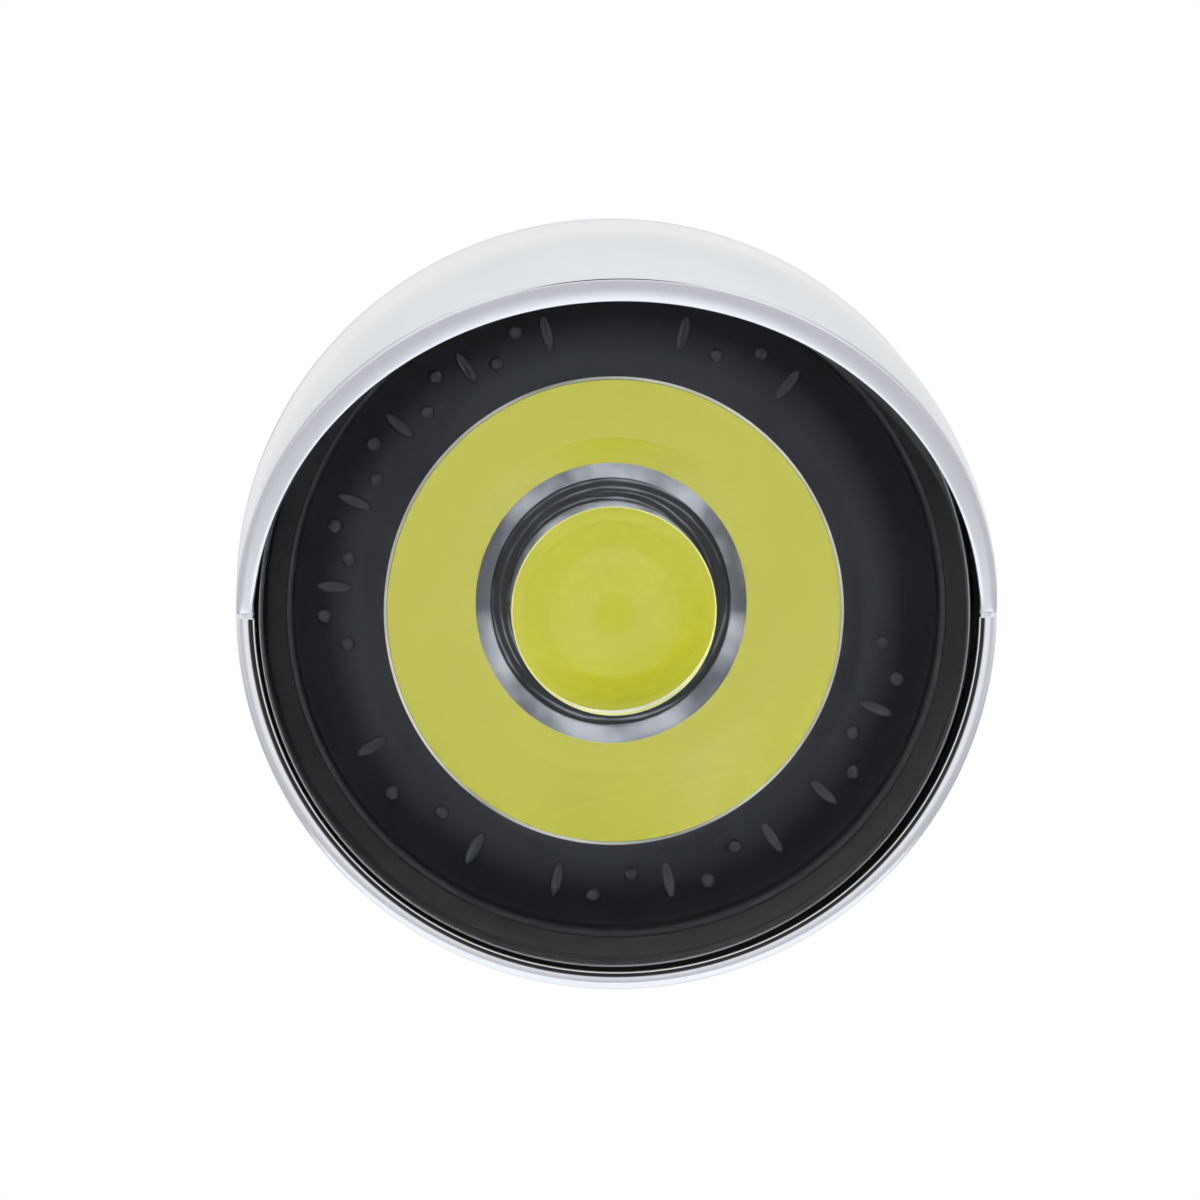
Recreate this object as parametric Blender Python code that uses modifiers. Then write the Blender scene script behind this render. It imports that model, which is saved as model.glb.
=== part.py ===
"""A small round bullet lamp with an eyelid hood, one LED behind a collimator, and a hollow stud mount.

The lamp's axis runs along world Y and its front faces -Y. Everything hangs under one empty, so the
sub-parts are described in the lamp's own axes: X to the right, Y up, Z forward out of the lens, in
millimetres. Z = 0 is the panel face that the rubber pad sits on. Depths are measured back from the
plane of the lower rim.
"""

import math

import bmesh
import bpy
from mathutils import Matrix

MM = 0.001

# Housing
RIM_Z = 26.5            # the lower rim's plane, ahead of the panel
RIM_R = 16.1            # outer radius at the rim, and of the hood's ball
BORE_R = 15.38          # inner radius at the rim
HOOD_TILT = math.radians(25.3)
HOOD_CORE_DEPTH = 1.15  # the hood's inner ball is centred this far behind its outer one
NOTCH = 0.17            # chamfer where the hood's edge meets the lower rim
NOTCH_Y = -0.13         # the chamfer's lowest point, just under the axis
BODY_R = 16.0
STRAIGHT = 9.5          # depth to which the body is nearly a cylinder
TAIL = 18.5             # half length of the ellipse behind it
SEAM = 9.0              # depth of the joint between the two shells
SEAT = 25.0             # depth of the rear seat
SEAT_R = 7.0
SHOULDER = 5.9
SHOULDER_R = 14.6
GASKET = 0.6
LEDGE = 14.5            # depth of the ledge that the heat sink rests on
CAVITY_R = 13.35
CAVITY_TAIL_R = 12.0

GAP = 0.2               # between pieces that touch

# Lens with its collimator
LENS_R = 14.97
LENS_FRONT = -0.3
FLANGE = 1.6
COLLIMATOR_R = 9.6
POCKET_R = 4.35         # the pocket's ceiling, which is the central lens
POCKET_MOUTH_R = 4.65
FOOT_R = 5.8            # outer radius of the collimator's flat foot
POCKET_CEILING = 8.6    # heights above the LED's phosphor
POCKET_MOUTH = 1.7
CENTRE_BULGE = 1.3
ACRYLIC = 1.49          # refractive index

# Light source
PHOSPHOR_DEPTH = 9.8
PHOSPHOR_R = 2.2
DOME_R = 2.75
PACKAGE_R = 4.0
BOARD_R = 10.0
BOARD_DEPTH = 11.6
BOARD_T = 1.2

# Mount
STUD_R = 4.0
STUD_BORE_R = 2.2
STUD_LENGTH = 18.0
PAD_R = 7.6
PAD_T = 1.3
PANEL_GAP = 2.5         # room left for the panel at rest
WASHER_R = 7.5
WASHER_T = 1.0
SPRING_R = 6.6
SPRING_T = 1.6
NUT_FLATS = 12.0
NUT_T = 4.2

ROUND = 60
SMALL_ROUND = 24

lamp = bpy.data.collections.new("bullet_lamp")
cutters = bpy.data.collections.new("cutters")


def depth(value):
    """Height above the panel of a depth behind the lower rim."""
    return RIM_Z - value


def body_radius(at):
    """Outer radius of the housing at a depth behind the lower rim."""
    if at <= STRAIGHT:
        return BODY_R + (RIM_R - BODY_R) * (1 - at / STRAIGHT)
    return BODY_R * math.sqrt(1 - ((at - STRAIGHT) / TAIL) ** 2)


def body_profile(start, end, steps, inset=0.0):
    """Points down the housing's outside between two depths, or inside it by inset."""
    depths = [start + (end - start) * i / steps for i in range(steps + 1)]
    return [(body_radius(at) - inset, depth(at)) for at in depths]


def ball_profile(radius, centre, top, bottom, steps):
    """Points down a ball about a point on the axis, between two heights above that point."""
    first = math.asin(top / radius)
    last = math.asin(bottom / radius)
    angles = [first + (last - first) * i / steps for i in range(steps + 1)]
    return [(radius * math.cos(a), centre + radius * math.sin(a)) for a in angles]


def material(name, colour, roughness, metallic=0.0, transmission=0.0):
    made = bpy.data.materials.new(name)
    made.diffuse_color = (*colour, 1.0)
    made.use_nodes = True
    shader = made.node_tree.nodes["Principled BSDF"]
    shader.inputs["Base Color"].default_value = (*colour, 1.0)
    shader.inputs["Roughness"].default_value = roughness
    shader.inputs["Metallic"].default_value = metallic
    shader.inputs["Transmission Weight"].default_value = transmission
    return made


def place(obj, parent, collection=lamp):
    obj.parent = parent
    collection.objects.link(obj)
    return obj


def turned(name, profile, look, parent, steps=ROUND, collection=lamp):
    """A profile in millimetres swept round the lamp's axis: outside top to bottom first."""
    points = [(r * MM, 0.0, z * MM) for r, z in profile]
    on_axis = profile[0][0] == 0 and profile[-1][0] == 0
    edges = [(i, i + 1) for i in range(len(points) - 1)]
    if not on_axis:
        edges.append((len(points) - 1, 0))
    mesh = bpy.data.meshes.new(name)
    mesh.from_pydata(points, edges, [])
    if look:
        mesh.materials.append(look)
    obj = bpy.data.objects.new(name, mesh)
    screw = obj.modifiers.new("turn", "SCREW")
    screw.axis = "Z"
    screw.angle = 2 * math.pi
    screw.steps = steps
    screw.render_steps = steps
    screw.use_merge_vertices = True
    screw.merge_threshold = 0.000001
    screw.use_smooth_shade = True
    return place(obj, parent, collection)


def solid(name, build, look, parent, collection=lamp):
    """An object from a function that fills a bmesh in millimetres."""
    bm = bmesh.new()
    build(bm)
    bmesh.ops.scale(bm, vec=(MM, MM, MM), verts=bm.verts)
    mesh = bpy.data.meshes.new(name)
    bm.to_mesh(mesh)
    bm.free()
    if look:
        mesh.materials.append(look)
    mesh.shade_smooth()
    mesh.set_sharp_from_angle(angle=math.radians(30))
    return place(bpy.data.objects.new(name, mesh), parent, collection)


def rod(radius, start, end, steps, centre=(0.0, 0.0)):
    """A cylinder along Z between two heights."""
    def build(bm):
        made = bmesh.ops.create_cone(
            bm, cap_ends=True, segments=steps, radius1=radius, radius2=radius, depth=end - start)
        bmesh.ops.translate(bm, vec=(*centre, (start + end) / 2), verts=made["verts"])
    return build


def block(size, centre, turn=0.0):
    """A box, turned about Z by an angle in radians after it is placed."""
    def build(bm):
        made = bmesh.ops.create_cube(bm, size=1.0)
        bmesh.ops.scale(bm, vec=size, verts=made["verts"])
        bmesh.ops.translate(bm, vec=centre, verts=made["verts"])
        bmesh.ops.rotate(bm, cent=(0, 0, 0), matrix=Matrix.Rotation(turn, 3, "Z"), verts=made["verts"])
    return build


def cutter(name, build, parent):
    made = solid(name, build, None, parent, cutters)
    made.hide_render = True
    made.display_type = "WIRE"
    return made


def boolean(obj, tool, operation="DIFFERENCE"):
    cut = obj.modifiers.new(operation.lower(), "BOOLEAN")
    cut.operation = operation
    cut.solver = "EXACT"
    cut.object = tool


# Housing ------------------------------------------------------------------------------------------

def hood_cutter(parent):
    """Everything ahead of the lower rim and ahead of the hood's tilted edge, as one prism along X."""
    reach = 40.0
    side = 20.0
    slope = math.tan(HOOD_TILT)
    outline = [
        (-reach, RIM_Z),
        (NOTCH_Y - NOTCH, RIM_Z),
        (NOTCH_Y, RIM_Z - NOTCH),
        (reach, RIM_Z - NOTCH + (reach - NOTCH_Y) * slope),
        (reach, RIM_Z + reach),
        (-reach, RIM_Z + reach),
    ]

    def build(bm):
        face = bm.faces.new([bm.verts.new((-side, y, z)) for y, z in outline])
        swept = bmesh.ops.extrude_face_region(bm, geom=[face])
        moved = [v for v in swept["geom"] if isinstance(v, bmesh.types.BMVert)]
        bmesh.ops.translate(bm, vec=(2 * side, 0, 0), verts=moved)
        bmesh.ops.recalc_face_normals(bm, faces=bm.faces)

    return cutter("hood_cut", build, parent)


def radial_rod(radius, inner, outer, at_depth):
    """A cylinder pointing straight down from the axis, between two distances from it."""
    def build(bm):
        made = bmesh.ops.create_cone(
            bm, cap_ends=True, segments=SMALL_ROUND, radius1=radius, radius2=radius, depth=outer - inner)
        down = Matrix.Rotation(math.radians(90), 3, "X")
        bmesh.ops.rotate(bm, cent=(0, 0, 0), matrix=down, verts=made["verts"])
        bmesh.ops.translate(bm, vec=(0, -(inner + outer) / 2, depth(at_depth)), verts=made["verts"])
    return build


SCREW_DEPTH = 7.6       # grub screw through both shells, at the underside
SCREW_R = 0.8
SCREW_HOLE_R = 1.0
SCREW_INNER, SCREW_OUTER = 13.0, 15.35
HOOD_REACH = 8.6        # height of the ball that the hood is cut from


def hood_shell(look, parent):
    outside = ball_profile(RIM_R, RIM_Z, HOOD_REACH, 0.0, 6)
    outside += body_profile(0.0, SEAM, 1)[1:]
    core = depth(HOOD_CORE_DEPTH)
    inside = [(SHOULDER_R, depth(SEAM)), (SHOULDER_R, depth(SHOULDER)), (BORE_R, depth(SHOULDER))]
    inside += list(reversed(ball_profile(BORE_R, core, HOOD_REACH, 0.0, 6)))
    shell = turned("hood_shell", outside + inside, look, parent)
    boolean(shell, hood_cutter(parent))
    boolean(shell, cutter("hood_screw_cut", radial_rod(SCREW_HOLE_R, 12.0, 18.0, SCREW_DEPTH), parent))
    return shell


SPIGOT_R = 14.35        # the rear shell's collar, which slides into the hood shell
SPIGOT_START = 6.4
SHELL_WALL = 1.25
FLOOR_T = 1.2           # thickness of the rear shell behind its cavity
STUD_HOLE_R = 4.3


def rear_shell(look, parent):
    shoulder = SEAM + GASKET + 2 * GAP
    floor = SEAT - FLOOR_T
    outside = [(SPIGOT_R, depth(SPIGOT_START)), (SPIGOT_R, depth(shoulder))]
    outside += body_profile(shoulder, SEAT - 0.3, 9)
    outside += [(SEAT_R, depth(SEAT))]
    tail = body_profile(LEDGE + 2.4, floor - 0.5, 4, SHELL_WALL)
    tail = [(min(r, CAVITY_TAIL_R), z) for r, z in tail]
    inside = [(STUD_HOLE_R, depth(SEAT)), (STUD_HOLE_R, depth(floor)), (tail[-1][0] - 0.5, depth(floor))]
    inside += list(reversed(tail))
    inside += [(CAVITY_TAIL_R, depth(LEDGE)), (CAVITY_R, depth(LEDGE)), (CAVITY_R, depth(SPIGOT_START))]
    shell = turned("rear_shell", outside + inside, look, parent)
    boolean(shell, cutter("rear_screw_cut", radial_rod(SCREW_HOLE_R, 12.0, 18.0, SCREW_DEPTH), parent))
    return shell


def shell_gasket(look, parent):
    """The rubber ring that shows as a thin dark line between the shells."""
    top = depth(SEAM + GAP)
    bottom = depth(SEAM + GAP + GASKET)
    outer = body_radius(SEAM) - 0.25
    profile = [(outer - 0.15, top), (outer, top - 0.15), (outer, bottom + 0.15), (outer - 0.15, bottom),
               (SHOULDER_R + 0.1, bottom), (SHOULDER_R + 0.1, top)]
    return turned("shell_gasket", profile, look, parent)


def bezel_screw(look, parent):
    """A slotted grub screw that locks the hood shell onto the rear shell, just under flush."""
    screw = solid("bezel_screw", radial_rod(SCREW_R, SCREW_INNER, SCREW_OUTER, SCREW_DEPTH), look, parent)
    slot = block((2.4, 0.9, 0.32), (0, -SCREW_OUTER, depth(SCREW_DEPTH)))
    boolean(screw, cutter("bezel_screw_slot", slot, parent))
    return screw


# Lens and its holder ------------------------------------------------------------------------------

def landing(radius, height, tilt):
    """Where a ray from straight ahead lands on the LED's plane, off a wall tilted from the axis.

    The wall sends it inwards at twice the tilt; the pocket's sloping side then bends it down."""
    slope = (POCKET_MOUTH_R - POCKET_R) / (POCKET_CEILING - POCKET_MOUTH)
    draft = math.atan(slope)
    run = math.tan(2 * tilt)
    fall = (radius - POCKET_R - slope * (POCKET_CEILING - height)) / (run + slope)
    crossing_r = radius - run * fall
    crossing_z = height - fall
    bent = ACRYLIC * math.sin(math.pi / 2 - 2 * tilt - draft)
    if bent >= 1:
        return math.inf
    return crossing_r - crossing_z / math.tan(draft + math.asin(bent))


def collimator_wall(top_height, steps=9):
    """The wall, from the flange down, that throws the LED's light straight ahead."""
    radius, height = COLLIMATOR_R, top_height
    step = (top_height - POCKET_MOUTH) / steps
    wall = [(radius, height)]
    while height - step > POCKET_MOUTH and radius > FOOT_R + 0.25:
        low, high = math.radians(12), math.radians(44)
        for _ in range(40):
            tilt = (low + high) / 2
            if landing(radius, height, tilt) > 0:
                low = tilt
            else:
                high = tilt
        radius -= math.tan(low) * step
        height -= step
        wall.append((radius, height))
    return wall


def lens_wall():
    """The collimator's wall as profile points above the panel."""
    led = depth(PHOSPHOR_DEPTH)
    top_height = depth(LENS_FRONT + FLANGE) - led
    return [(r, led + z) for r, z in collimator_wall(top_height)]


def lens_collimator(look, parent):
    led = depth(PHOSPHOR_DEPTH)
    front = depth(LENS_FRONT)
    back = depth(LENS_FRONT + FLANGE)
    chamfer = 0.15
    wall = lens_wall()
    foot = wall[-1][0] - 0.05
    outside = [(0.0, front), (LENS_R - chamfer, front), (LENS_R, front - chamfer), (LENS_R, back)]
    outside += wall
    outside += [(foot, led + POCKET_MOUTH), (POCKET_MOUTH_R, led + POCKET_MOUTH)]
    outside += [(POCKET_R, led + POCKET_CEILING)]
    steps = 5
    for i in range(1, steps + 1):
        share = 1 - i / steps
        outside.append((POCKET_R * share, led + POCKET_CEILING - CENTRE_BULGE * (1 - share ** 2)))
    return turned("lens_collimator", outside, look, parent)


def lens_seal(look, parent):
    top = depth(LENS_FRONT + FLANGE + GAP)
    bottom = depth(LENS_FRONT + FLANGE + GAP + 0.6)
    profile = [(14.8, top), (14.8, bottom), (13.9, bottom), (13.9, top)]
    return turned("lens_seal", profile, look, parent)


CARRIER_R = 15.12
CARRIER_TOP = 2.3       # depth of the ledge round the carrier's face
CARRIER_FACE = 3.4
CARRIER_WALL = 0.9
LEDGE_R = 13.6
CUP_CLEARANCE = 0.35    # air gap outside the collimator


def lens_carrier(look, parent):
    """The black holder: a ledge for the lens, a dark face round the collimator, and a cup about it."""
    top = depth(CARRIER_TOP)
    face = depth(CARRIER_FACE)
    wall = [(r + CUP_CLEARANCE, z) for r, z in lens_wall() if z < face - 0.6]
    under = face - CARRIER_WALL
    seat = depth(SHOULDER - GAP)
    skirt_r = 14.1
    outside = [(CARRIER_R - 0.15, top), (CARRIER_R, top - 0.15), (CARRIER_R, seat), (skirt_r, seat),
               (skirt_r, under), (wall[0][0] + 1.3, under)]
    outside += [(r + CARRIER_WALL, z - CUP_CLEARANCE) for r, z in wall[2:]]
    foot_r, foot_z = wall[-1][0], wall[-1][1] - 1.0
    outside += [(foot_r + CARRIER_WALL, foot_z), (foot_r, foot_z)]
    inside = list(reversed(wall))
    inside += [(COLLIMATOR_R + 0.5, face), (LEDGE_R, face), (LEDGE_R, top)]
    return turned("lens_carrier", outside + inside, look, parent)


# Light source -------------------------------------------------------------------------------------

def led_package(look, parent):
    """The emitter's round plastic body with a cup for the phosphor and a step for the dome."""
    top = depth(PHOSPHOR_DEPTH + 0.1)
    bottom = depth(BOARD_DEPTH - GAP)
    cup = top - 0.75
    profile = [(3.5, top), (PACKAGE_R, top - 0.5), (PACKAGE_R, bottom), (3.0, bottom), (3.0, cup - 0.35),
               (PHOSPHOR_R + 0.15, cup - 0.35), (PHOSPHOR_R + 0.15, top)]
    return turned("led_package", profile, look, parent, 36)


def led_phosphor(look, parent):
    top = depth(PHOSPHOR_DEPTH)
    bottom = top - 0.7
    profile = [(0.0, top), (PHOSPHOR_R - 0.3, top), (PHOSPHOR_R, top - 0.15),
               (PHOSPHOR_R, bottom), (0.0, bottom)]
    return turned("led_phosphor", profile, look, parent, 36)


def led_slug(look, parent):
    """The metal slug under the phosphor, which carries the heat to the board."""
    top = depth(PHOSPHOR_DEPTH + 0.9)
    bottom = depth(BOARD_DEPTH - GAP)
    profile = [(0.0, top), (1.9, top), (1.9, top - 0.45), (2.7, top - 0.45), (2.7, bottom), (0.0, bottom)]
    return turned("led_slug", profile, look, parent, 36)


def led_dome(look, parent):
    base = depth(PHOSPHOR_DEPTH) + 0.2
    profile = [(0.0, base + DOME_R)]
    profile += [(DOME_R * math.cos(a), base + DOME_R * math.sin(a))
                for a in (math.radians(90 - 10 * i) for i in range(1, 10))]
    profile += [(0.0, base)]
    return turned("led_dome", profile, look, parent, 36)


def led_lead(side, look, parent):
    """A flat gull-wing lead from the package down to its pad; side is +1 above, -1 below."""
    lead_z = depth(BOARD_DEPTH - 1.1)
    foot_z = depth(BOARD_DEPTH - GAP) + 0.15
    route = [(side * (PACKAGE_R + GAP), lead_z), (side * 4.9, lead_z),
             (side * 5.3, foot_z), (side * 6.6, foot_z)]
    width = 1.6
    half = 0.12
    upper = [(y, z + half) for y, z in route]
    lower = [(y, z - half) for y, z in reversed(route)]

    def build(bm):
        face = bm.faces.new([bm.verts.new((-width / 2, y, z)) for y, z in upper + lower])
        swept = bmesh.ops.extrude_face_region(bm, geom=[face])
        moved = [v for v in swept["geom"] if isinstance(v, bmesh.types.BMVert)]
        bmesh.ops.translate(bm, vec=(width, 0, 0), verts=moved)
        bmesh.ops.recalc_face_normals(bm, faces=bm.faces)

    return solid("led_lead_upper" if side > 0 else "led_lead_lower", build, look, parent)


BOARD_SCREW_AT = 6.4    # distance of the board's screws and of the wires from the axis
WIRE_CENTRE = 8.3
WIRE_HOLE_R = 0.65
BOARD_NOTCH_R = 1.3


def round_hole(name, radius, centre, start, end, parent):
    return cutter(name, rod(radius, start, end, 16, centre), parent)


def star_board(look, parent):
    """The aluminium-cored board, with six notches round its edge."""
    top, bottom = depth(BOARD_DEPTH), depth(BOARD_DEPTH + BOARD_T)
    board = solid("star_board", rod(BOARD_R, bottom, top, 48), look, parent)
    for i in range(6):
        angle = math.radians(60 * i)
        centre = (BOARD_R * math.cos(angle), BOARD_R * math.sin(angle))
        boolean(board, round_hole(f"star_notch_{i + 1}", BOARD_NOTCH_R, centre, bottom - 1, top + 1, parent))
    for side in (-1, 1):
        centre = (0.0, side * WIRE_CENTRE)
        boolean(board, round_hole(f"star_wire_{side + 2}", WIRE_HOLE_R, centre, bottom - 1, top + 1, parent))
        centre = (side * BOARD_SCREW_AT, 0.0)
        boolean(board, round_hole(f"star_screw_{side + 2}", 1.2, centre, bottom - 1, top + 1, parent))
    return board


def thermal_pad(look, parent):
    top = depth(BOARD_DEPTH + BOARD_T + GAP)
    bottom = top - 0.3
    return turned("thermal_pad", [(0.0, top), (5.0, top), (5.0, bottom), (0.0, bottom)], look, parent, 36)


SINK_TOP = 13.5
SINK_BOTTOM = 17.2
SINK_R = 11.5
SINK_FLANGE_R = 13.1


def heat_sink(look, parent):
    """A turned aluminium plug with a flange on the housing's ledge and slots round its body."""
    top, bottom = depth(SINK_TOP), depth(SINK_BOTTOM)
    flange = depth(LEDGE - GAP)
    profile = [(0.0, top), (SINK_FLANGE_R - 0.3, top), (SINK_FLANGE_R, top - 0.3), (SINK_FLANGE_R, flange),
               (SINK_R, flange), (SINK_R, bottom), (0.0, bottom)]
    sink = turned("heat_sink", profile, look, parent, 48)
    for i in range(12):
        angle = math.radians(30 * i + 15)
        tool = block((3.2, 1.1, 3.4), (SINK_R, 0, depth(16.3)), angle)
        boolean(sink, cutter(f"sink_slot_{i + 1}", tool, parent))
    for side in (-1, 1):
        centre = (0.0, side * WIRE_CENTRE)
        boolean(sink, round_hole(f"sink_wire_{side + 2}", WIRE_HOLE_R, centre, bottom - 1, top + 1, parent))
        centre = (side * BOARD_SCREW_AT, 0.0)
        boolean(sink, round_hole(f"sink_screw_{side + 2}", 0.9, centre, bottom + 1, top + 1, parent))
    return sink


def board_screw(side, look, parent):
    """A small pan-head screw that holds the star board down on the heat sink."""
    head = depth(BOARD_DEPTH - GAP)
    place_at = (side * BOARD_SCREW_AT * MM, 0, 0)
    name = "board_screw_right" if side > 0 else "board_screw_left"
    profile = [(0.0, head + 0.9), (1.0, head + 0.85), (1.5, head + 0.45), (1.5, head), (0.7, head),
               (0.7, depth(15.6)), (0.0, depth(16.0))]
    screw = turned(name, profile, look, parent, 24)
    screw.location = place_at
    for turn in (0, 90):
        tool = block((1.7, 0.35, 0.7), (0, 0, head + 0.9), math.radians(turn))
        cross = cutter(f"{name}_cross_{turn}", tool, parent)
        cross.location = place_at
        boolean(screw, cross)
    return screw


# Driver -------------------------------------------------------------------------------------------

DRIVER_TOP = 18.9
DRIVER_T = 1.0
DRIVER_R = 9.2


def board_spacer(look, parent):
    top, bottom = depth(SINK_BOTTOM + GAP), depth(DRIVER_TOP - GAP)
    return turned("board_spacer", [(7.2, top), (7.2, bottom), (6.2, bottom), (6.2, top)], look, parent, 36)


def driver_board(look, parent):
    top, bottom = depth(DRIVER_TOP), depth(DRIVER_TOP + DRIVER_T)
    board = solid("driver_board", rod(DRIVER_R, bottom, top, 48), look, parent)
    for side in (-1, 1):
        centre = (0.0, side * WIRE_CENTRE)
        hole = round_hole(f"driver_wire_{side + 2}", WIRE_HOLE_R, centre, bottom - 1, top + 1, parent)
        boolean(board, hole)
    return board


def feed_wire(side, look, parent):
    """A stiff link from the star board through the heat sink to the driver board."""
    start, end = depth(DRIVER_TOP + DRIVER_T + 0.5), depth(BOARD_DEPTH - 0.9)
    name = "feed_wire_plus" if side > 0 else "feed_wire_minus"
    curve = bpy.data.curves.new(name, "CURVE")
    curve.dimensions = "3D"
    curve.bevel_depth = 0.35 * MM
    curve.bevel_resolution = 2
    curve.use_fill_caps = True
    spline = curve.splines.new("POLY")
    spline.points.add(1)
    for point, z in zip(spline.points, (start, end)):
        point.co = (0, side * WIRE_CENTRE * MM, z * MM, 1)
    curve.materials.append(look)
    return place(bpy.data.objects.new(name, curve), parent)


def component(name, size, centre, look, parent):
    """A surface-mount part on the driver board's rear face, its edges broken."""
    z = depth(DRIVER_TOP + DRIVER_T + GAP) - size[2] / 2
    part = solid(name, block(size, (*centre, z)), look, parent)
    edge = part.modifiers.new("edges", "BEVEL")
    edge.width = 0.15 * MM
    edge.segments = 1
    edge.limit_method = "ANGLE"
    return part


# Mount --------------------------------------------------------------------------------------------

def mounting_stud(look, parent):
    """A hollow threaded stud whose flange sits inside the rear shell."""
    top = depth(SEAT - FLOOR_T) + GAP
    profile = [(5.6, top + 0.8), (5.6, top), (STUD_R, top), (STUD_R, -STUD_LENGTH + 0.5),
               (STUD_R - 0.5, -STUD_LENGTH), (STUD_BORE_R, -STUD_LENGTH), (STUD_BORE_R, top + 0.8)]
    return turned("mounting_stud", profile, look, parent, 36)


def mounting_pad(look, parent):
    top = PAD_T
    profile = [(PAD_R - 0.3, top), (PAD_R, top - 0.4), (PAD_R, 0.25), (PAD_R - 0.25, 0.0),
               (STUD_HOLE_R, 0.0), (STUD_HOLE_R, top)]
    return turned("mounting_pad", profile, look, parent, 40)


def flat_washer(look, parent):
    top = -PANEL_GAP
    bottom = top - WASHER_T
    profile = [(WASHER_R - 0.15, top), (WASHER_R, top - 0.15), (WASHER_R, bottom + 0.15),
               (WASHER_R - 0.15, bottom), (STUD_R + 0.25, bottom), (STUD_R + 0.25, top)]
    return turned("flat_washer", profile, look, parent, 40)


def spring_washer(look, parent):
    """A split ring, cut through at the top."""
    top = -PANEL_GAP - WASHER_T - GAP
    bottom = top - SPRING_T
    profile = [(SPRING_R, top), (SPRING_R, bottom), (STUD_R + 0.25, bottom), (STUD_R + 0.25, top)]
    ring = turned("spring_washer", profile, look, parent, 40)
    split = block((0.6, 6, 4), (0, SPRING_R - 1, (top + bottom) / 2), 0.35)
    boolean(ring, cutter("spring_split", split, parent))
    return ring


NUT_TOP = -PANEL_GAP - WASHER_T - SPRING_T - 2 * GAP


def hex_nut(look, parent):
    """A thin hexagon nut, its corners turned down at both faces."""
    bottom = NUT_TOP - NUT_T
    across = NUT_FLATS / math.cos(math.radians(30)) / 2
    nut = solid("hex_nut", rod(across, bottom, NUT_TOP, 6), look, parent)
    tip_r, tip_lift = across - 2.9, 2.2
    edge_r, edge_drop = across + 1.2, 1.6
    outline = [(0, NUT_TOP + tip_lift), (tip_r, NUT_TOP + tip_lift), (edge_r, NUT_TOP - edge_drop),
               (edge_r, bottom + edge_drop), (tip_r, bottom - tip_lift), (0, bottom - tip_lift)]
    chamfer = turned("nut_chamfer", outline, None, parent, 48, cutters)
    chamfer.hide_render = True
    chamfer.display_type = "WIRE"
    boolean(nut, chamfer, "INTERSECT")
    boolean(nut, round_hole("nut_bore", STUD_R + 0.15, (0, 0), bottom - 3, NUT_TOP + 3, parent))
    return nut


def wire_grommet(look, parent):
    """The rubber bush in the stud's rear mouth, where the supply lead would come out."""
    end = -STUD_LENGTH
    neck_r, head_r, hole_r = STUD_BORE_R - 0.1, 3.1, 1.1
    profile = [(neck_r, end + 4.0), (neck_r, end - 0.2), (head_r, end - 0.2), (head_r, end - 0.9),
               (head_r - 0.4, end - 1.3), (hole_r, end - 1.3), (hole_r, end + 4.0)]
    return turned("wire_grommet", profile, look, parent, 32)


def main():
    for old in list(bpy.data.objects):
        bpy.data.objects.remove(old)
    bpy.context.scene.collection.children.link(lamp)
    bpy.context.scene.collection.children.link(cutters)
    axis = bpy.data.objects.new("lamp_axis", None)
    axis.rotation_euler = (math.radians(90), 0, 0)
    lamp.objects.link(axis)

    chrome = material("chrome", (0.80, 0.82, 0.84), 0.05, 1.0)
    clear = material("clear", (0.97, 0.98, 0.98), 0.02, 0.0, 1.0)
    black = material("black_plastic", (0.02, 0.02, 0.022), 0.35)
    rubber = material("rubber", (0.015, 0.015, 0.016), 0.7)
    white = material("white_plastic", (0.8, 0.8, 0.77), 0.4)
    yellow = material("phosphor", (0.62, 0.62, 0.05), 0.6)
    silicone = material("silicone", (0.95, 0.95, 0.9), 0.03, 0.0, 1.0)
    copper = material("copper", (0.85, 0.5, 0.32), 0.25, 1.0)
    tinned = material("tinned", (0.72, 0.72, 0.70), 0.3, 1.0)
    board_white = material("board_white", (0.78, 0.79, 0.78), 0.45)
    board_green = material("board_green", (0.02, 0.17, 0.07), 0.4)
    grey_pad = material("thermal_grey", (0.35, 0.37, 0.40), 0.8)
    aluminium = material("aluminium", (0.70, 0.71, 0.73), 0.35, 1.0)
    steel = material("zinc_steel", (0.62, 0.62, 0.60), 0.3, 1.0)

    hood_shell(chrome, axis)
    rear_shell(chrome, axis)
    shell_gasket(rubber, axis)
    bezel_screw(steel, axis)
    lens_collimator(clear, axis)
    lens_seal(rubber, axis)
    lens_carrier(black, axis)
    led_package(white, axis)
    led_phosphor(yellow, axis)
    led_slug(copper, axis)
    led_dome(silicone, axis)
    led_lead(1, tinned, axis)
    led_lead(-1, tinned, axis)
    star_board(board_white, axis)
    thermal_pad(grey_pad, axis)
    heat_sink(aluminium, axis)
    board_screw(1, steel, axis)
    board_screw(-1, steel, axis)
    board_spacer(black, axis)
    driver_board(board_green, axis)
    feed_wire(1, copper, axis)
    feed_wire(-1, copper, axis)
    component("driver_chip", (3.9, 2.6, 1.4), (0.0, 1.4), black, axis)
    component("driver_diode", (4.3, 2.4, 1.9), (0.6, -5.6), black, axis)
    component("driver_capacitor", (2.8, 3.5, 1.8), (-5.2, -0.6), copper, axis)
    component("driver_resistor", (1.6, 3.2, 0.6), (5.6, 0.6), black, axis)
    mounting_stud(steel, axis)
    mounting_pad(rubber, axis)
    flat_washer(steel, axis)
    spring_washer(steel, axis)
    hex_nut(steel, axis)
    wire_grommet(rubber, axis)


main()
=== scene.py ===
"""Looks for the bullet marker lamp: chrome shells, clear collimator, LED and stud mount."""
import math

import bmesh
import bpy
from mathutils import Matrix, Vector

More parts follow.
